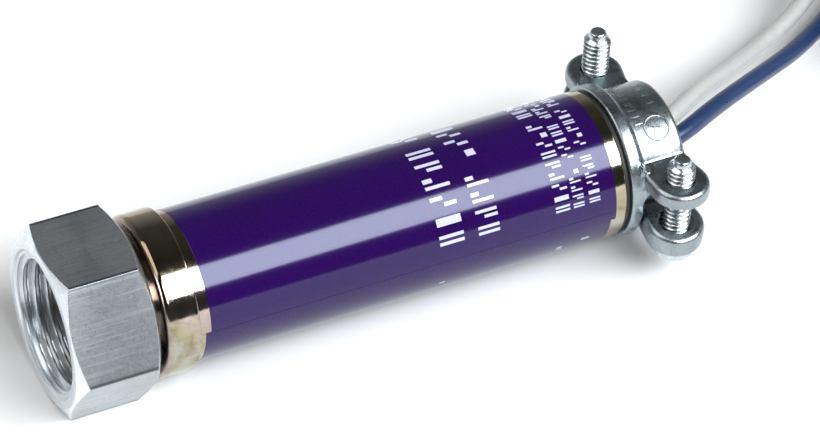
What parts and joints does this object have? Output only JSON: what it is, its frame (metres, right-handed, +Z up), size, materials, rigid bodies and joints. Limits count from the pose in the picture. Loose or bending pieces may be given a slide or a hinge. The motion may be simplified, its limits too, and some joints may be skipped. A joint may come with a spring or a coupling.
{
  "type": "flame sensor probe",
  "caption": "Ultraviolet flame sensor probe: threaded hex mounting collar, violet-wrapped tube, quartz window, conduit clamp and coiled leads.",
  "frame": {"origin": "on the probe's axis, where the pipe thread's full wall starts behind the mouth's countersink", "axes": "+X along the probe from the pipe thread to the conduit clamp, +Z up square to the collar's top flat and along the clamp screws, +Y across towards the far ear"},
  "size_m": [0.1956, 0.0606, 0.0254],
  "materials": {
    "machined_steel": "machined grey steel",
    "zinc_dichromate": "gold iridescent zinc dichromate plating",
    "zinc_dichromate_tube": "gold iridescent zinc dichromate plating",
    "violet_label": "glossy violet printed film",
    "fibre": "pressed fibre",
    "silicone": "matte silicone",
    "quartz": "clear fused quartz",
    "spring_steel": "dull spring steel",
    "liner_film": "translucent film",
    "bulb_glass": "clear glass",
    "electrode_nickel": "dull nickel",
    "socket_ceramic": "unglazed ceramic",
    "heat_shrink": "shrunk sleeve",
    "white_insulation": "extruded insulation, off-white",
    "blue_insulation": "extruded insulation, blue",
    "potting": "cast epoxy",
    "black_gasket": "black rubber",
    "die_cast_zinc": "bright die-cast zinc",
    "bushing_plastic": "moulded plastic",
    "zinc_plated_screw": "bright zinc plating",
    "tinned_copper": "tinned strands",
    "tie_nylon": "natural nylon"
  },
  "bodies": {
    "housing": {"sight_spud": "zinc_dichromate", "pipe_seal_washer": "fibre", "front_cap": "zinc_dichromate", "housing_tube": "zinc_dichromate_tube", "wrap_label": "violet_label", "window_gasket_front": "silicone", "quartz_window": "quartz", "window_gasket_rear": "silicone", "window_retainer": "spring_steel", "insulating_liner": "liner_film", "glass_envelope": "bulb_glass", "anode_grid": "electrode_nickel", "cathode_plate": "electrode_nickel", "tube_cushion": "silicone", "tube_socket": "socket_ceramic", "solder_sleeve_white": "heat_shrink", "solder_sleeve_blue": "heat_shrink", "lead_white_tail": "white_insulation", "lead_blue_tail": "blue_insulation", "potting_plug": "potting", "connector_gasket": "black_gasket", "connector_body": "die_cast_zinc", "throat_bushing": "bushing_plastic", "lead_white": "white_insulation", "lead_blue": "blue_insulation", "lead_white_coil": "white_insulation", "lead_blue_coil": "blue_insulation", "lead_white_end": "tinned_copper", "lead_blue_end": "tinned_copper", "coil_ties": "tie_nylon"},
    "collar": {"mounting_collar": "machined_steel"},
    "strap": {"clamp_strap": "die_cast_zinc"},
    "screw_near": {"clamp_screw_near": "zinc_plated_screw"},
    "screw_far": {"clamp_screw_far": "zinc_plated_screw"}
  },
  "joints": [
    {"name": "collar_swivel", "type": "hinge", "parent": "housing", "child": "collar", "pos_m": [0, 0, 0], "axis": [1, 0, 0], "continuous": true},
    {"name": "strap_lift", "type": "slide", "parent": "housing", "child": "strap", "axis": [0, 0, 1], "range_m": [-0.0035, 0.0015]},
    {"name": "near_screw_turn", "type": "hinge", "parent": "strap", "child": "screw_near", "pos_m": [0.0934, -0.0135, 0], "axis": [0, 0, 1], "range_deg": [-1607, 700]},
    {"name": "far_screw_turn", "type": "hinge", "parent": "strap", "child": "screw_far", "pos_m": [0.0934, 0.0135, 0], "axis": [0, 0, 1], "range_deg": [-1607, 700]}
  ],
  "couplings": [
    {"joint": "near_screw_turn", "follows": "strap_lift", "rad_per_m": 7915.8},
    {"joint": "far_screw_turn", "follows": "strap_lift", "rad_per_m": 7915.8}
  ]
}
